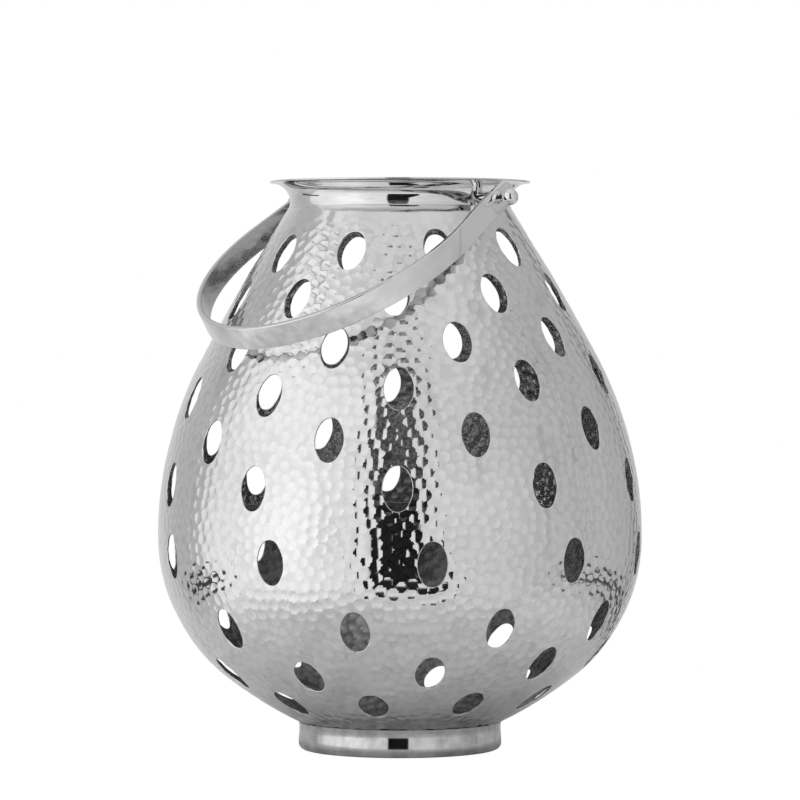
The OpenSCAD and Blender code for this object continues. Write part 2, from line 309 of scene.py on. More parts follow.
def sheet_face(phi, s, groove=0.0):
    """Places, normals and share of land of the hammered face, with a groove along the weld."""
    place, normal = surface(phi, s)
    h, u, v, land = hammering(phi, s)
    wave_h, wave_u, wave_v = waves(phi, s)
    near, rise = weld(s)
    h, u, v = h + wave_h + groove * near, u + wave_u, v + wave_v + groove * rise
    angle = meridian(s)[2]
    round_dir = np.stack([np.cos(phi), np.sin(phi), np.zeros_like(phi)], -1)
    up_dir = -outward(phi) * np.sin(angle)[..., None]
    up_dir[..., 2] = np.cos(angle)
    face_normal = normalised(normal - round_dir * u[..., None] - up_dir * v[..., None])
    return place + normal * h[..., None], face_normal, np.maximum(land, near * (groove > 0))


# holes

# Vertices of a loop round a hole, and radius of the hole's rounded edge
LOOP_POINTS, EDGE_R = 88, 0.42
# Distances of the loops from the hole's outline
LOOP_OFFSETS = [0.8, EDGE_R, 0.24, 0.12, 0.03, 0.0]
# Points of each arc of an outline, before they are set evenly
ARC_POINTS = 400
# Rounds that bring a flat place onto the body
SETTLE_ROUNDS = 6
# An outline has two round ends and two flatter sides, which meet without a corner
END_Y = HOLE_LEN / 2 - HOLE_END_R
SIDE_R = (HOLE_W ** 2 / 4 + END_Y ** 2 - HOLE_END_R ** 2) / (HOLE_W - 2 * HOLE_END_R)
SIDE_X = SIDE_R - HOLE_W / 2


def oval(offset):
    """Points of a hole's outline, set out by an offset, evenly by arc length."""
    meet = math.atan2(END_Y, SIDE_X)
    t = np.linspace(-meet, meet, ARC_POINTS)
    side = np.stack([(SIDE_R + offset) * np.cos(t) - SIDE_X, (SIDE_R + offset) * np.sin(t)], 1)
    t = np.linspace(meet, math.pi - meet, ARC_POINTS)
    end = np.stack([(HOLE_END_R + offset) * np.cos(t),
                    (HOLE_END_R + offset) * np.sin(t) + END_Y], 1)
    half = np.concatenate([side[:-1], end[:-1]])
    whole = np.concatenate([half, -half, half[:1]])
    walk = np.concatenate([[0], np.cumsum(np.linalg.norm(np.diff(whole, axis=0), axis=1))])
    even = np.linspace(0, walk[-1], LOOP_POINTS, endpoint=False)
    return np.stack([np.interp(even, walk, whole[:, k]) for k in (0, 1)], 1)


def inside_oval(points, offset):
    """Whether points lie inside the outline, set out by an offset."""
    meet_y = END_Y * SIDE_R / (SIDE_R - HOLE_END_R)
    x, y = np.abs(points[..., 0]), np.abs(points[..., 1])
    in_side = (np.hypot(x + SIDE_X, y) < SIDE_R + offset) & (y < meet_y)
    return in_side | (np.hypot(x, y - END_Y) < HOLE_END_R + offset)


class Hole:
    """One hole, with its own flat coordinates: round the body and up the body."""

    def __init__(self, z, degrees):
        self.phi, self.s = math.radians(degrees), walk_at(z)
        self.place, self.normal = (v[0] for v in surface(np.array([self.phi]), np.array([self.s])))
        self.round = np.array([math.cos(self.phi), math.sin(self.phi), 0])
        self.up = np.cross(self.normal, self.round)
        self.up *= np.sign(self.up[2])
        self.r = float(meridian(self.s)[0])

    def flat(self, phi, s):
        """Flat coordinates of places on the body."""
        place = surface(phi, s)[0] - self.place
        return np.stack([place @ self.round, place @ self.up], -1)

    def on_body(self, points):
        """Angle and walk on the body of places in the hole's flat coordinates."""
        phi = self.phi + points[:, 0] / self.r
        s = self.s + points[:, 1]
        for _ in range(SETTLE_ROUNDS):
            miss = points - self.flat(phi, s)
            phi, s = phi + miss[:, 0] / self.r, s + miss[:, 1]
        return phi, s


def ring_holes(shares, drift, low_z, high_z):
    """The holes of all rings between two heights. They wander, as hand-punched ones do."""
    pitch = 360 / HOLES
    holes = []
    for height, start, sway, spread in shares:
        for k in range(HOLES):
            turn = pitch * (k + start)
            turn += (spread * pitch * math.sin(math.radians(2 * turn))
                     + drift * math.sin(math.radians(k * pitch / 2)) ** 2)
            z = low_z + height * (high_z - low_z) + sway * HOLE_LEN * math.sin(math.radians(turn))
            holes.append(Hole(z, RING_SIDE + turn))
    return holes


# meshes

class Soup:
    """Vertices with normals and marks, and faces, gathered in millimetres."""

    def __init__(self):
        self.places, self.normals, self.faces, self.count = [], [], [], 0
        self.marks = {"inside": [], "land": []}

    def add(self, places, normals, inside=0.0, land=0.0):
        """Takes in vertices and returns their numbers."""
        first = self.count
        self.places.append(places.reshape(-1, 3))
        self.normals.append(normals.reshape(-1, 3))
        self.count += len(self.places[-1])
        for name, value in (("inside", inside), ("land", land)):
            self.marks[name].append(np.ravel(value) + np.zeros(self.count - first))
        return np.arange(first, self.count).reshape(places.shape[:-1])

    def quads(self, low, high, keep=None, flip=False):
        """Quads between two closed rows of vertex numbers, or between the rows of two grids."""
        low, high = (np.concatenate([r, r[..., :1]], -1) for r in (low, high))
        faces = np.stack([low[..., :-1], low[..., 1:], high[..., 1:], high[..., :-1]], -1)
        faces = faces.reshape(-1, 4) if keep is None else faces[keep]
        self.faces.append(faces[:, ::-1] if flip else faces)

    def tris(self, faces, flip=False):
        self.faces.append(faces[:, ::-1] if flip else faces)

    def build(self, name):
        """A new object with all vertices that a face uses."""
        places = np.concatenate(self.places) * MM
        normals = np.concatenate(self.normals)
        sizes = np.concatenate([np.full(len(f), f.shape[1]) for f in self.faces])
        used, corners = np.unique(np.concatenate([f.ravel() for f in self.faces]),
                                  return_inverse=True)
        mesh = bpy.data.meshes.new(name)
        mesh.vertices.add(len(used))
        mesh.vertices.foreach_set("co", places[used].astype(np.float32).ravel())
        mesh.loops.add(len(corners))
        mesh.loops.foreach_set("vertex_index", corners.astype(np.int32))
        mesh.polygons.add(len(sizes))
        starts = np.concatenate([[0], np.cumsum(sizes)[:-1]])
        mesh.polygons.foreach_set("loop_start", starts.astype(np.int32))
        mesh.update(calc_edges=True)
        mesh.shade_smooth()
        mesh.normals_split_custom_set_from_vertices(normals[used].tolist())
        for mark, values in self.marks.items():
            layer = mesh.attributes.new(mark, "FLOAT", "POINT")
            layer.data.foreach_set("value", np.concatenate(values)[used].astype(np.float32))
        return add_object(name, mesh)


# Rows of vertices beside the weld, in half widths of its groove
WELD_ROWS = np.array([-2, -1, 1, 2])
# Least share of a grid cell between a hole's widest loop and the edge of its block
MARGIN = 0.4
# Least share of a row's height between a hole's widest loop and the grid vertices about it
CLEARANCE = 0.35
# A triangle belongs to the hole when its middle is this far inside the widest loop
HOLLOW = 0.02
# Places nearer than this are one to the triangulation
SAME_PLACE = 1e-7


class SheetSide:
    """One face of a hammered shell with its holes cut: the outer one, or, where a dulling is given,
    the inner one, rougher and darkened by painted shade. It keeps its end rows and the innermost loop
    of each hole."""

    def __init__(self, soup, s_low, s_high, holes, columns, row_step, dull_and_shade=0.0):
        self.soup, self.columns, self.row_step, self.dull_and_shade = soup, columns, row_step, dull_and_shade
        self.inner = dull_and_shade > 0
        rows = max(2, int(round((s_high - s_low) / row_step)) + 1)
        beside_weld = S_SEAM + WELD_ROWS * WELD_HALF_W
        beside_weld = beside_weld[(beside_weld > s_low) & (beside_weld < s_high)]
        self.s_row = np.sort(np.append(np.linspace(s_low, s_high, rows), beside_weld))
        phi, s = np.meshgrid(even_turns(columns), self.s_row)
        place, normal, land = self.face(phi, s, np.zeros_like(s))
        self.number = soup.add(place, normal, dull_and_shade, land)
        self.keep = np.ones((len(self.s_row) - 1, columns), bool)
        self.loops = [self.cut(hole) for hole in holes]
        soup.quads(self.number[:-1], self.number[1:], keep=self.keep, flip=self.inner)
        self.low, self.high = self.number[0], self.number[-1]

    def face(self, phi, s, depth):
        """Places, normals and share of land at a depth into the sheet from this face."""
        place, normal, land = sheet_face(phi, s, WELD_DEPTH if self.inner else 0.0)
        down = SHEET - depth if self.inner else depth
        place = place - surface(phi, s)[1] * down[..., None]
        return place, (-normal if self.inner else normal), land

    def loop(self, hole, phi, s, offset):
        """One loop of vertices round a hole, on the rounded edge of the sheet."""
        lean = max(0.0, 1 - offset / EDGE_R)
        upright = math.sqrt(1 - lean * lean)
        place, normal, land = self.face(phi, s, np.full_like(phi, EDGE_R * (1 - upright)))
        inward = hole.place - place
        base = surface(phi, s)[1]
        inward -= base * np.sum(inward * base, -1, keepdims=True)
        turned = normalised(normal * upright + normalised(inward) * lean)
        return self.soup.add(place, turned, self.dull_and_shade, land)

    def cut(self, hole):
        """Cuts one hole and returns the numbers of its innermost loop."""
        rim = [hole.on_body(oval(offset)) for offset in LOOP_OFFSETS]
        loops = [self.loop(hole, phi, s, offset) for (phi, s), offset in zip(rim, LOOP_OFFSETS)]
        for a, b in zip(loops[:-1], loops[1:]):
            self.soup.quads(a, b, flip=self.inner)
        self.surround(hole, *rim[0], loops[0])
        return loops[-1]

    def surround(self, hole, phi, s, loop):
        """Triangles between the widest loop and the grid, laid flat by angle and walk."""
        step = 2 * np.pi / self.columns
        across, up = phi / step, np.interp(s, self.s_row, np.arange(len(self.s_row)))
        # The block of grid cells that the triangles take the place of
        cols = np.arange(math.floor(across.min() - MARGIN), math.ceil(across.max() + MARGIN) + 1)
        first = max(0, math.floor(up.min() - MARGIN))
        last = min(len(self.s_row) - 1, math.ceil(up.max() + MARGIN))
        self.keep[first:last, cols[:-1] % self.columns] = False
        grid_phi, grid_s = np.meshgrid(cols * step, self.s_row[first:last + 1])
        outside = ~inside_oval(hole.flat(grid_phi, grid_s),
                               LOOP_OFFSETS[0] + CLEARANCE * self.row_step)
        outside[[0, -1]] = outside[:, [0, -1]] = True
        numbers = self.number[first:last + 1][:, cols % self.columns][outside]
        n = len(numbers)
        numbers = np.concatenate([numbers, loop])
        here, scale = [hole.phi, hole.s], np.array([hole.r, 1.0])
        flat = np.concatenate([np.stack([grid_phi[outside], grid_s[outside]], -1),
                               np.stack([phi, s], -1)])
        flat = (flat - here) * scale
        edges = [(n + k, n + (k + 1) % LOOP_POINTS) for k in range(LOOP_POINTS)]
        laid, _, faces, origins = delaunay_2d_cdt(
            [Vector(p) for p in flat], edges, [], 0, SAME_PLACE)[:4]
        laid = np.array([tuple(v) for v in laid])
        faces = np.array([f for f in faces if len(f) == 3])
        middle = laid[faces].mean(1) / scale + here
        hollow = inside_oval(hole.flat(middle[:, 0], middle[:, 1]), LOOP_OFFSETS[0] - HOLLOW)
        faces = faces[~hollow]
        a, b, c = (laid[faces[:, k]] for k in range(3))
        ab, ac = b - a, c - a
        area = ab[:, 0] * ac[:, 1] - ab[:, 1] * ac[:, 0]
        faces, area = faces[np.abs(area) > TINY], area[np.abs(area) > TINY]
        faces[area < 0] = faces[area < 0][:, ::-1]
        origins = np.array([o[0] for o in origins])
        self.soup.tris(numbers[origins[faces]], flip=self.inner)


# Columns round a face and distance between its rows: the outer face's, then the inner one's
COLUMNS, ROW_STEP = 900, 0.95
INNER_COLUMNS, INNER_STEP = 450, 1.9
# Inner faces: rougher, and darker with painted shade, the lower shell's the more so
UPPER_DULL_AND_SHADE, LOWER_DULL_AND_SHADE = 0.6, 1.5
# Rings of the flat floor, from its edge in
FLOOR_RING_SHARES = (0.985, 0.95, 0.85, 0.6, 0.3, 0.05)


def join_two_to_one(soup, fine, coarse, flip):
    """Faces between a row and another with half as many vertices."""
    n = len(coarse)
    k = np.arange(n)
    a, b, c = fine[2 * k], fine[2 * k + 1], fine[(2 * k + 2) % len(fine)]
    p, q = coarse[k], coarse[(k + 1) % n]
    tris = np.concatenate([np.stack(t, 1) for t in ((a, b, p), (b, q, p), (b, c, q))])
    soup.tris(tris, flip)


def add_floor(soup, row, first_r, z, up, dull_and_shade=0.0):
    """The flat floor inside a face's lowest row: rings of faces and a fan in the middle."""
    columns = len(row)
    phi = even_turns(columns)
    normal = np.tile([0.0, 0.0, 1.0 if up else -1.0], (columns, 1))
    for share in FLOOR_RING_SHARES:
        r = first_r * share
        ring = np.stack([np.sin(phi) * r, -np.cos(phi) * r, np.full_like(phi, z)], -1)
        outer_row, row = row, soup.add(ring, normal, dull_and_shade)
        soup.quads(row, outer_row, flip=up)
    middle = soup.add(np.array([[0.0, 0.0, z]]), normal[:1], dull_and_shade)[0]
    soup.tris(np.stack([np.full(columns, middle), row, np.roll(row, -1)], 1), flip=up)


def hammered_shell(name, s_low, s_high, holes, dull_and_shade, floor=False):
    """A hammered sheet shell with punched holes, its inner face rougher and darkened by painted
    shade.
    """
    soup = Soup()
    outer = SheetSide(soup, s_low, s_high, holes, COLUMNS, ROW_STEP)
    inner = SheetSide(soup, s_low, s_high, holes, INNER_COLUMNS, INNER_STEP, dull_and_shade)
    for a, b in zip(outer.loops, inner.loops):
        soup.quads(a, b)
    join_two_to_one(soup, outer.high, inner.high, flip=False)
    if floor:
        add_floor(soup, outer.low, FOOT_R, FOOT_H, up=False)
        inner_r = FOOT_R + SHEET * math.tan(math.radians(-BASE_ANGLE / 2))
        add_floor(soup, inner.low, inner_r, FOOT_H + SHEET, up=True, dull_and_shade=dull_and_shade)
    else:
        join_two_to_one(soup, outer.low, inner.low, flip=True)
    piece = soup.build(name)
    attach(piece, BODY)
    return piece


upper_holes = ring_holes(UPPER_RING_SHARES, UPPER_DRIFT, SEAM_Z, NECK_SEAT[1])
lower_holes = ring_holes(LOWER_RING_SHARES, LOWER_DRIFT, FOOT_H, SEAM_Z)
upper = hammered_shell("hammered_upper_shell", S_SEAM, S_TOP, upper_holes, UPPER_DULL_AND_SHADE)
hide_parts("upper_shell")
lower = hammered_shell("hammered_lower_shell", 0.0, S_SEAM, lower_holes, LOWER_DULL_AND_SHADE, floor=True)
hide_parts("lower_shell")


# smooth turned pieces

# Vertices round a piece, and the angle from which an edge is sharp
TURNED_COLUMNS, TURNED_SHARP = 360, 32.0


def arc_points(centre, radius, start, sweep, steps):
    """Points of an arc, both ends among them, from a start angle through a sweep."""
    return [np.array(centre) + radius * unit(start + sweep * k / steps) for k in range(steps + 1)]


def ring_mesh(name, rings, sharp, closed):
    """Smooth mesh of equal rings of vertices, joined one to the next. Closed, the last ring
    joins the first; open, a face closes each end."""
    count, columns = rings.shape[:2]
    ids = np.arange(count * columns).reshape(count, columns)
    low, high = (ids, np.roll(ids, -1, 0)) if closed else (ids[:-1], ids[1:])
    faces = np.stack([low, np.roll(low, -1, 1), np.roll(high, -1, 1), high], -1).reshape(-1, 4)
    ends = [] if closed else [ids[0][::-1].tolist(), ids[-1].tolist()]
    mesh = bpy.data.meshes.new(name)
    mesh.from_pydata((rings.reshape(-1, 3) * MM).tolist(), [], faces.tolist() + ends)
    mesh.shade_smooth()
    mesh.set_sharp_from_angle(angle=math.radians(sharp))
    return mesh


def turned(name, outline, place=None, columns=TURNED_COLUMNS, sharp=TURNED_SHARP):
    """A closed outline of [radius, height] points, turned about Z; place maps it elsewhere."""
    outline = np.array(outline)
    phi = even_turns(columns)
    rings = np.stack([outline[:, :1] * np.cos(phi), outline[:, :1] * np.sin(phi),
                      np.repeat(outline[:, 1:], columns, 1)], -1)
    if place is not None:
        rings = place(rings)
    return add_object(name, ring_mesh(name, rings, sharp, closed=True))


# Steps of the collar's arcs
SKIRT_STEPS, FLARE_STEPS, LIP_STEPS = 12, 40, 12
skirt_centre = (NECK_R + SKIRT_R, WAIST_Z)
flare_centre = (NECK_R + FLARE_R, WAIST_Z)
collar_outline = (
    arc_points(skirt_centre, SKIRT_R, 180 + SKIRT_TURN, -SKIRT_TURN, SKIRT_STEPS)
    + arc_points(flare_centre, FLARE_R, 180, -90, FLARE_STEPS)[1:-1]
    + arc_points((NECK_R + FLARE_R, LIP_Z - SHEET / 2), SHEET / 2, -90, 180, LIP_STEPS)
    + arc_points(flare_centre, FLARE_R + SHEET, 90, 90, FLARE_STEPS)[1:]
    + arc_points(skirt_centre, SKIRT_R + SHEET, 180, SKIRT_TURN, SKIRT_STEPS)[1:])
collar = turned("polished_neck_collar", collar_outline)
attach(collar, BODY)
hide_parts("neck_collar")

# The foot's wall is drawn in a little, most at a share of its height
FOOT_WAIST, FOOT_WAIST_SHARE = 0.4, 0.68
WALL_STEPS, CORNER_OUT_STEPS, FLANGE_STEPS, CORNER_IN_STEPS = 24, 16, 10, 12
foot_bend = math.log(0.5) / math.log(FOOT_WAIST_SHARE)
foot_corner = (FOOT_R - FOOT_CORNER_R, FOOT_CORNER_R)
flange_end = (foot_corner[0] - FOOT_FLANGE + SHEET / 2, SHEET / 2)
foot_outline = (
    [(FOOT_R - SHEET, FOOT_H)]
    + [(FOOT_R - FOOT_WAIST * math.sin(math.pi * t ** foot_bend),
        FOOT_CORNER_R + t * (FOOT_H - FOOT_CORNER_R)) for t in np.linspace(1, 0, WALL_STEPS)[:-1]]
    + arc_points(foot_corner, FOOT_CORNER_R, 0, -90, CORNER_OUT_STEPS)
    + arc_points(flange_end, SHEET / 2, -90, -180, FLANGE_STEPS)
    + arc_points(foot_corner, FOOT_CORNER_R - SHEET, -90, 90, CORNER_IN_STEPS))
foot = turned("polished_foot_ring", foot_outline[::-1])
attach(foot, BODY)
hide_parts("foot_ring")


# bail

STRAP_IN = LIP_R + LIP_GAP
STRAP_OUT = STRAP_IN + STRAP_T
bend_centre = np.array([STRAP_OUT + PAD_BEND_R, PAD_LEN])
leg_start = bend_centre - PAD_BEND_R * unit(-LEG_LEAN)
leg_end = leg_start + LEG_LEN * unit(90 - LEG_LEAN)
bow_gap = np.array([-leg_end[0], BAIL_REACH - leg_end[1]])
bow_side_r, bow_top_r = np.linalg.solve(
    np.stack([unit(SIDE_TURN) - unit(-LEG_LEAN), unit(90) - unit(SIDE_TURN)], 1), bow_gap)
side_centre = leg_end - bow_side_r * unit(-LEG_LEAN)
top_centre = np.array([0.0, BAIL_REACH - bow_top_r])

# Distance between rings of vertices along the strap
BAIL_STEP = 1.2
# The round end: turn of its first ring in radians, its rings, and the rings of the flat pad
END_FIRST_TURN, END_RINGS, PAD_RINGS = 0.03, 26, 9
# Least square of half the strap's width, at the first ring
LEAST_SQUARE = 0.05
# Rounding of the strap's long edges, which its round end narrows
CORNER, CORNER_SHARE, CORNER_STEPS = 0.55, 0.8, 5
STRAP_SHARP = 38.0


def eye_stations(end):
    """Distances along the strap from its round end to the bend, close together at the end."""
    t = np.linspace(END_FIRST_TURN, math.pi / 2, END_RINGS)
    return list(-end + STRAP_W / 2 * (1 - np.cos(t))) + list(np.linspace(
        -EYE_OVERHANG, PAD_LEN, PAD_RINGS, endpoint=False)[1:])


def bail_path():
    """The strap's outer face from the right eye's end to the left one: place, outward normal."""
    def arc(centre, radius, start, stop, back=False):
        count = max(2, int(abs(math.radians(stop - start)) * radius / BAIL_STEP))
        for t in np.linspace(start, stop, count, endpoint=False):
            yield centre + radius * unit(t + 180 if back else t), unit(t)
    end = EYE_OVERHANG + STRAP_W / 2
    half = [(np.array([STRAP_OUT, v]), unit(0)) for v in eye_stations(end)]
    half += list(arc(bend_centre, PAD_BEND_R, 0, -LEG_LEAN, back=True))
    half += [(leg_start + (leg_end - leg_start) * t, unit(-LEG_LEAN))
             for t in np.linspace(0, 1, int(LEG_LEN / BAIL_STEP), endpoint=False)]
    half += list(arc(side_centre, bow_side_r, -LEG_LEAN, SIDE_TURN))
    half += list(arc(top_centre, bow_top_r, SIDE_TURN, 90))
    mirror = np.array([-1, 1])
    return half + [(np.array([0.0, BAIL_REACH]), unit(90))] + [
        (p * mirror, n * mirror) for p, n in half[::-1]]


def strap_section(half_w):
    """Rounded rectangle: across the strap, and depth from its outer face."""
    c = min(CORNER, half_w * CORNER_SHARE)
    points = []
    for x, y, start in ((half_w - c, c, -90), (half_w - c, STRAP_T - c, 0),
                        (-half_w + c, STRAP_T - c, 90), (-half_w + c, c, 180)):
        points += [np.array([x, y]) + c * unit(start + 90 * k / CORNER_STEPS)
                   for k in range(CORNER_STEPS + 1)]
    return np.array(points)


def bail_droop():
    """Rest angle of the bail: a little short of where its inner edge touches the shoulder."""
    edge = math.hypot(BAIL_REACH - STRAP_T, STRAP_W / 2)
    span = shoulder_centre - np.array([0, PIVOT_Z])
    size = np.linalg.norm(span)
    touch = -math.atan2(span[1], span[0]) - math.acos(
        (size ** 2 + edge ** 2 - SHOULDER_R ** 2) / (2 * size * edge))
    return touch - math.atan2(STRAP_W / 2, BAIL_REACH - STRAP_T) - math.radians(BAIL_REST_LIFT)


def make_bail():
    """The whole strap, at its rest angle."""
    droop = bail_droop()
    along = np.array([0, -math.cos(droop), -math.sin(droop)])
    across = np.array([0, -math.sin(droop), math.cos(droop)])
    rings = []
    for place, normal in bail_path():
        past = max(0.0, -EYE_OVERHANG - place[1])
        section = strap_section(math.sqrt(max(LEAST_SQUARE, (STRAP_W / 2) ** 2 - past ** 2)))
        flat = place[None, :] - normal[None, :] * section[:, 1:]
        rings.append(np.array([0, 0, PIVOT_Z]) + flat[:, :1] * np.array([1, 0, 0])
                     + flat[:, 1:] * along + section[:, :1] * across)
    mesh = ring_mesh("bail_strap", np.array(rings), STRAP_SHARP, closed=False)
    # The strap's inner face is rougher and darker
    mark = mesh.attributes.new("inside", "FLOAT", "POINT")
    inner_face = np.tile(strap_section(STRAP_W / 2)[:, 1] > STRAP_T / 2, len(rings))
    mark.data.foreach_set("value", inner_face.astype(np.float32))
    return add_object("bail_strap", mesh)


bail = make_bail()
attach(bail, BAIL)
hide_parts("bail_handle")


# pivots

KNOB_START = STRAP_OUT + SIDE_GAP
KNOB_CENTRE = KNOB_START + KNOB_COLLAR_LEN + math.sqrt(KNOB_R ** 2 - KNOB_COLLAR_R ** 2)
# Ease of the knob's collar, and radius and angle at which the ball's pole is closed
EASE, POLE_R, POLE_GAP = 0.25, 0.02, 0.6
KNOB_COLUMNS, KNOB_STEPS, KNOB_SHARP = 96, 48, 40.0


def on_pivot(side):
    """Maps a turned piece from Z onto the pivot axis of one side."""
    def place(verts):
        x, y, z = verts[..., 0], verts[..., 1], verts[..., 2]
        return np.stack([side * z, -side * y, x + PIVOT_Z], -1)
    return place


neck_turn = math.degrees(math.asin(KNOB_COLLAR_R / KNOB_R))
ball = arc_points((0, 0), KNOB_R, 90 - neck_turn, neck_turn - 180 + POLE_GAP, KNOB_STEPS)[1:]
knob_outline = (
    [(STUD_R, KNOB_START), (KNOB_COLLAR_R - EASE, KNOB_START), (KNOB_COLLAR_R, KNOB_START + EASE),
     (KNOB_COLLAR_R, KNOB_START + KNOB_COLLAR_LEN)]
    + [(r, KNOB_CENTRE - h) for r, h in ball]
    + [(POLE_R, KNOB_CENTRE), (STUD_R, KNOB_CENTRE)])
knobs = []
for side, label in ((1, "right"), (-1, "left")):
    knob = turned(f"{label}_ball", knob_outline, on_pivot(side), KNOB_COLUMNS, KNOB_SHARP)
    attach(knob, BODY)
    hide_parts(f"{label}_ball_knob")
    knobs.append(knob)


# materials

class Graph:
    """Short calls that add a node, set its constants and link its inputs."""

    def __init__(self, tree):
        self.nodes, self.links = tree.nodes, tree.links
        self.nodes.clear()

    def put(self, kind, **facts):
        node = self.nodes.new(kind)
        for name, value in facts.items():
            setattr(node, name, value)
        return node

    def feed(self, node, inputs):
        for key, value in inputs.items():
            if isinstance(value, bpy.types.NodeSocket):
                self.links.new(value, node.inputs[key])
            else:
                node.inputs[key].default_value = value
        return node

    def math(self, operation, *values):
        node = self.put("ShaderNodeMath", operation=operation)
        return self.feed(node, dict(enumerate(values))).outputs[0]

    def vector(self, operation, *values):
        node = self.put("ShaderNodeVectorMath", operation=operation)
        return self.feed(node, dict(enumerate(values))).outputs

    def noise(self, place, scale, detail):
        node = self.put("ShaderNodeTexNoise")
        return self.feed(node, {"Vector": place, "Scale": scale, "Detail": detail}).outputs["Fac"]

    def span(self, value, low, high, out_low=0.0, out_high=1.0, smooth=False):
        """Maps a value from one range onto another and stops at its ends."""
        node = self.put("ShaderNodeMapRange", clamp=True,
                        interpolation_type="SMOOTHSTEP" if smooth else "LINEAR")
        return self.feed(node, {"Value": value, "From Min": low, "From Max": high,
                                "To Min": out_low, "To Max": out_high}).outputs["Result"]

    def window(self, value, low, high, soft):
        """1 between two values, 0 outside."""
        rise = self.span(value, low - soft, low + soft, smooth=True)
        return self.math("MULTIPLY", rise, self.span(value, high + soft, high - soft, smooth=True))

    def ramp(self, value, stops, low, high):
        """Level at a value, by stops of [value, level]."""
        node = self.put("ShaderNodeValToRGB")
        elements = node.color_ramp.elements
        while len(elements) < len(stops):
            elements.new(0.5)
        for element, (place, level) in zip(elements, stops):
            element.position = (place - low) / (high - low)
            element.color = (level, level, level, 1)
        self.links.new(self.span(value, low, high), node.inputs["Fac"])
        return node.outputs["Color"]

    def blend(self, share, low, high):
        """low where the share is 0, high where it is 1."""
        return self.math("MULTIPLY_ADD", share, self.math("SUBTRACT", high, low), low)

    def mix(self, share, first, second):
        """The first shader where the share is 0, the second where it is 1."""
        node = self.put("ShaderNodeMixShader")
        return self.feed(node, {0: share, 1: first.outputs[0], 2: second.outputs[0]})

    def close(self, kind, shader):
        """Links a shader to the graph's output."""
        self.feed(self.put(kind), {"Surface": shader.outputs[0]})


# Noises of the steel, as [scale, detail]
CLOUDS, GRAIN, RUNS = (26.0, 5.0), (520.0, 3.0), (75.0, 3.0)
FOOT_SHADE_NOISE, GLOSS = (150.0, 4.0), (70.0, 4.0)
# Tone that the clouds give, as [noise from, noise to, tone from, tone to]
CLOUD_TONE = (0.32, 0.68, 0.95, 1.0)
# Painted shade on the land between dents, outside and inside
LAND_SHADE, LAND_SHADE_IN = 0.10, 0.34
# Run marks: stretch down the body, and darkening, as for the clouds
RUN_STRETCH, RUN_SHADE = 0.09, (0.60, 0.70, 0, 0.13)
# Painted shade above the foot and on it: heights in metres, and darkening, as for the clouds
FOOT_SHADE_TOP, FOOT_SHADE_LOW, FOOT_SHADE_TONE = 0.040, 0.017, (0.3, 0.7, 0.1, 0.42)
# Noise that the gloss follows, how much rougher a dull face is, and the grain's height in metres
GLOSS_FROM, GLOSS_TO, DULL_ROUGH, GRAIN_HEIGHT = 0.3, 0.7, 0.13, 0.0001


def steel(name, level, inner_tone, rough, lift, worked=False):
    """Steel with slight cloudiness, uneven gloss and fine working marks, rougher and darker on inner
    faces, where the shells' darker tone is painted shade.
    Worked steel has run marks, painted shade on the land between dents, and painted shade that
    darkens it towards the foot."""
    material = bpy.data.materials.new(name)
    material.use_nodes = True
    graph = Graph(material.node_tree)
    place = graph.put("ShaderNodeTexCoord").outputs["Object"]
    inside = graph.put("ShaderNodeAttribute", attribute_name="inside").outputs["Fac"]
    tone = graph.math("MULTIPLY", graph.span(graph.noise(place, *CLOUDS), *CLOUD_TONE),
                      graph.blend(inside, level, inner_tone))
    if worked:
        # Painted shade on the land between dents, stronger on the inner faces
        land = graph.put("ShaderNodeAttribute", attribute_name="land").outputs["Fac"]
        painted_land_shade = graph.math("MULTIPLY", land, graph.blend(inside, LAND_SHADE, LAND_SHADE_IN))
        drawn = graph.vector("MULTIPLY", place, (1, 1, RUN_STRETCH))["Vector"]
        runs = graph.span(graph.noise(drawn, *RUNS), *RUN_SHADE)
        # Painted shade: darker towards the foot below a height, uneven by noise
        height = graph.feed(graph.put("ShaderNodeSeparateXYZ"), {0: place}).outputs["Z"]
        foot_shade = graph.math("MULTIPLY", graph.span(height, FOOT_SHADE_TOP, FOOT_SHADE_LOW, smooth=True),
                           graph.span(graph.noise(place, *FOOT_SHADE_NOISE), *FOOT_SHADE_TONE))
        for shade in (painted_land_shade, runs, foot_shade):
            tone = graph.math("MULTIPLY", tone, graph.math("SUBTRACT", 1.0, shade))
    colour = graph.feed(graph.put("ShaderNodeCombineColor"), {
        "Red": tone, "Green": tone, "Blue": tone}).outputs["Color"]
    gloss = graph.span(graph.noise(place, *GLOSS), GLOSS_FROM, GLOSS_TO, *rough)
    bump = graph.feed(graph.put("ShaderNodeBump"), {
        "Strength": lift, "Distance": GRAIN_HEIGHT, "Height": graph.noise(place, *GRAIN)})
    shader = graph.feed(graph.put("ShaderNodeBsdfPrincipled"), {
        "Base Color": colour, "Metallic": 1.0,
        "Roughness": graph.math("ADD", gloss, graph.math("MULTIPLY", inside, DULL_ROUGH)),
        "Normal": bump.outputs["Normal"]})
    graph.close("ShaderNodeOutputMaterial", shader)
    return material


# The inner tone of the shells is painted shade, deepened for the lower shell
hammered = steel("hammered_steel", level=0.83, inner_tone=0.56, rough=(0.045, 0.10), lift=0.10,
                 worked=True)
polished = steel("polished_steel", level=0.84, inner_tone=0.52, rough=(0.03, 0.06), lift=0.05)
# The foot has the run marks of the sheet above it, and the painted shade, which darkens all of the
# foot
foot_steel = steel("foot_steel", level=0.84, inner_tone=0.52, rough=(0.03, 0.06), lift=0.05,
                   worked=True)
plain = steel("plain_steel", level=0.62, inner_tone=0.62, rough=(0.25, 0.38), lift=0.30)


def dress(piece, material):
    """Gives a piece its material."""
    piece.data.materials.clear()
    piece.data.materials.append(material)


for piece in (upper, lower):
    dress(piece, hammered)
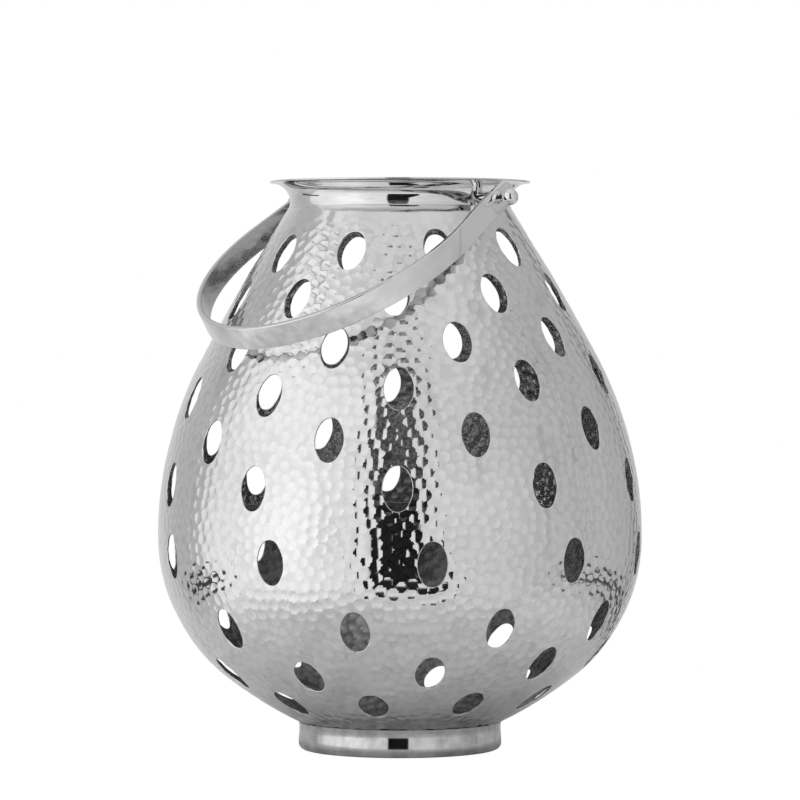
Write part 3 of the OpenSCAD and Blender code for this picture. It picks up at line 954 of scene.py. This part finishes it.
# Studs, spacers, washers and nuts keep the shapes of the solids
for name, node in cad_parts.items():
    if not node.hide_render:
        node.data.materials.clear()
        node.data.materials.append(polished if "spacer" in name else plain)
dress(foot, foot_steel)
for piece in [collar, bail] + knobs:
    dress(piece, polished)


# stage, light and camera

camera_side = math.radians(CAMERA_TURN)
TOWARD_CAMERA = (math.sin(camera_side), -math.cos(camera_side), 0)
CAMERA_RIGHT = (math.cos(camera_side), math.sin(camera_side), 0)

# Turns run from the camera's side towards the image's right, rises from the horizon up, both
# in degrees. Brightness of the light tent by turn, as [turn, level]: two soft walls
WALLS = [(-180, 0.70), (-150, 0.62), (-135, 0.52), (-120, 0.50), (-111, 0.50), (-107, 0.86),
         (-90, 0.93), (-62, 1.06), (-45, 1.02), (-30, 0.88), (0, 0.84), (10, 0.80), (30, 0.71),
         (60, 0.61), (90, 0.54), (120, 0.49), (150, 0.45), (180, 0.70)]
# Level of the ceiling, and the rises between which the walls pass into it
CEILING, CEILING_FROM, CEILING_FULL = 0.73, 42, 62
# Ground, as [degrees below the horizon, level], and where the walls pass into it
GROUND = [(0, 0.84), (32, 0.80), (40, 0.68), (47, 0.60), (60, 0.54), (75, 0.48), (90, 0.40)]
GROUND_FROM, GROUND_FULL = 20.0, 46.0
# Dark gap between the walls at the camera's side. Its right edge moves out between two rises
GAP_LEFT, GAP_RIGHT, GAP_RIGHT_LOW, GAP_LOW, GAP_TOP = -13.5, 9.5, 21.0, -30.0, 54.0
GAP_WIDE, GAP_NARROW, GAP_SIDE_SOFT, GAP_END_SOFT = -22, -8, 1, 1.5
# The gap's level: black, grey above one rise, and paler from another up to its top
GAP_BLACK, GAP_GREY, GAP_PALE = 0.014, 0.10, 0.26
GAP_CHANGE, GAP_CHANGE_SOFT, GAP_PALE_FROM = 12.0, 2, 36
# Bright spot on the left wall
SPOT_TURN, SPOT_RISE, SPOT_REACH, SPOT_LIFT = -54.0, 4.0, 26.0, 0.10
# Dark frames and edges of the tent: turns, rises, level
FRAMES = [(-116, -110, -34, 56, 0.55), (-104, -72, 47, 50, 0.50),
          (96, 99, -30, 50, 0.45), (146, 150, -40, 60, 0.20), (84, 168, -17, -14, 0.07),
          (-126, -96, -19, -15, 0.05)]
FRAME_SOFT = 0.8
# Noises of the gap's clutter, the ground and the cloth, as [scale, detail], and the share of
# the level that they leave, as [noise from, noise to, share from, share to]
CLUTTER, CLUTTER_TONE = (11.0, 4.0), (0.38, 0.62, 0.35, 1.4)
GROUND_NOISE, GROUND_TONE = (9.0, 4.0), (0.35, 0.65, 0.86, 1.12)
CLOTH, CLOTH_TONE = (3.2, 5.0), (0.3, 0.7, 0.91, 1.09)


def gap_share(graph, turn, rise):
    """1 in the dark gap, 0 outside."""
    left = graph.span(turn, GAP_LEFT - GAP_SIDE_SOFT, GAP_LEFT + GAP_SIDE_SOFT, smooth=True)
    edge = graph.math("SUBTRACT", turn,
                      graph.span(rise, GAP_WIDE, GAP_NARROW, GAP_RIGHT_LOW, GAP_RIGHT))
    inside = graph.span(edge, GAP_SIDE_SOFT, -GAP_SIDE_SOFT, smooth=True)
    gap = graph.math("MULTIPLY", left, inside)
    return graph.math("MULTIPLY", gap, graph.window(rise, GAP_LOW, GAP_TOP, GAP_END_SOFT))


def gap_level(graph, way, rise):
    """Level inside the gap, uneven like a room behind the camera."""
    shade = graph.span(rise, GAP_CHANGE - GAP_CHANGE_SOFT, GAP_CHANGE + GAP_CHANGE_SOFT,
                       GAP_BLACK, GAP_GREY)
    shade = graph.blend(graph.span(rise, GAP_PALE_FROM, GAP_TOP), shade, GAP_PALE)
    return graph.math("MULTIPLY", shade, graph.span(graph.noise(way, *CLUTTER), *CLUTTER_TONE))


def tent(world):
    """Light tent round the lantern: soft walls, a dark gap at the camera, pale ceiling. The
    camera's own rays see plain white."""
    world.use_nodes = True
    graph = Graph(world.node_tree)
    way = graph.put("ShaderNodeTexCoord").outputs["Generated"]
    right, toward, up = (graph.vector("DOT_PRODUCT", way, axis)["Value"]
                         for axis in (CAMERA_RIGHT, TOWARD_CAMERA, (0, 0, 1)))
    turn = graph.math("DEGREES", graph.math("ARCTAN2", right, toward))
    rise = graph.math("DEGREES", graph.math("ARCSINE", up))
    off = graph.math("ADD", graph.math("POWER", graph.math("SUBTRACT", turn, SPOT_TURN), 2),
                     graph.math("POWER", graph.math("SUBTRACT", rise, SPOT_RISE), 2))
    spot = graph.span(graph.math("SQRT", off), SPOT_REACH, 0, 0, SPOT_LIFT, smooth=True)
    walls = graph.math("ADD", graph.ramp(turn, WALLS, -180, 180), spot)
    level = graph.blend(graph.span(rise, CEILING_FROM, CEILING_FULL, smooth=True), walls, CEILING)
    ground = graph.ramp(graph.math("MULTIPLY", rise, -1), GROUND, 0, 90)
    ground = graph.math("MULTIPLY", ground, graph.span(graph.noise(way, *GROUND_NOISE), *GROUND_TONE))
    low = graph.span(rise, -GROUND_FROM, -GROUND_FULL, smooth=True)
    level = graph.blend(gap_share(graph, turn, rise), graph.blend(low, level, ground),
                        gap_level(graph, way, rise))
    for turn_from, turn_to, rise_from, rise_to, dark in FRAMES:
        sides = graph.window(turn, turn_from, turn_to, FRAME_SOFT)
        ends = graph.window(rise, rise_from, rise_to, FRAME_SOFT)
        level = graph.blend(graph.math("MULTIPLY", sides, ends), level, dark)
    level = graph.math("MULTIPLY", level, graph.span(graph.noise(way, *CLOTH), *CLOTH_TONE))
    glow = graph.feed(graph.put("ShaderNodeBackground"), {"Strength": level})
    white = graph.put("ShaderNodeBackground")
    for background in (glow, white):
        background.inputs["Color"].default_value = (1, 1, 1, 1)
    sight = graph.put("ShaderNodeLightPath").outputs["Is Camera Ray"]
    graph.close("ShaderNodeOutputWorld", graph.mix(sight, glow, white))


bpy.context.scene.world = bpy.data.worlds.new("light_tent")
tent(bpy.context.scene.world)

# Round table top: white to the camera but for the lantern's faint shadow. Away from the foot
# it lets all other rays through to the tent. Its radius and the fade's ends are in metres
TABLE_R, TABLE_SIDES = 0.34, 128
TABLE_GLOW, TABLE_GLOW_SHARE = 1.06, 0.93
TABLE_CLEAR_FROM, TABLE_CLEAR = 0.10, 0.338
FIBRE, FIBRE_TONE = (38.0, 4.0), (0.35, 0.65, 0.80, 0.98)


def table_top():
    """A matt disc at height 0, which glows to the camera."""
    mesh = bpy.data.meshes.new("table_top")
    rim = [(TABLE_R * c, TABLE_R * d, 0) for c, d in
           (unit(360 * k / TABLE_SIDES) for k in range(TABLE_SIDES))]
    mesh.from_pydata(rim, [], [range(TABLE_SIDES)])
    material = bpy.data.materials.new("table_top")
    material.use_nodes = True
    graph = Graph(material.node_tree)
    place = graph.put("ShaderNodeTexCoord").outputs["Object"]
    matt = graph.put("ShaderNodeBsdfDiffuse")
    graph.links.new(graph.span(graph.noise(place, *FIBRE), *FIBRE_TONE), matt.inputs["Color"])
    glow = graph.put("ShaderNodeEmission")
    glow.inputs["Strength"].default_value = TABLE_GLOW
    clear = graph.put("ShaderNodeBsdfTransparent")
    fade = graph.span(graph.vector("LENGTH", place)["Value"], TABLE_CLEAR_FROM, TABLE_CLEAR,
                      smooth=True)
    sight = graph.put("ShaderNodeLightPath").outputs["Is Camera Ray"]
    felt = graph.mix(fade, matt, clear)
    seen = graph.mix(TABLE_GLOW_SHARE, matt, glow)
    graph.close("ShaderNodeOutputMaterial", graph.mix(sight, felt, seen))
    mesh.materials.append(material)
    piece = add_object("table_top", mesh)


table_top()

camera_data = bpy.data.cameras.new("camera")
camera_data.sensor_width = CAMERA_SENSOR
camera_data.lens = CAMERA_LENS
camera = add_object("camera", camera_data)
camera.location = Vector(TOWARD_CAMERA) * CAMERA_DISTANCE * MM + Vector((0, 0, CAMERA_Z * MM))
camera.rotation_euler = (Vector((0, 0, CAMERA_AIM_Z * MM)) - camera.location).to_track_quat(
    "-Z", "Y").to_euler()
bpy.context.scene.camera = camera
bpy.context.scene.view_settings.view_transform = "Standard"
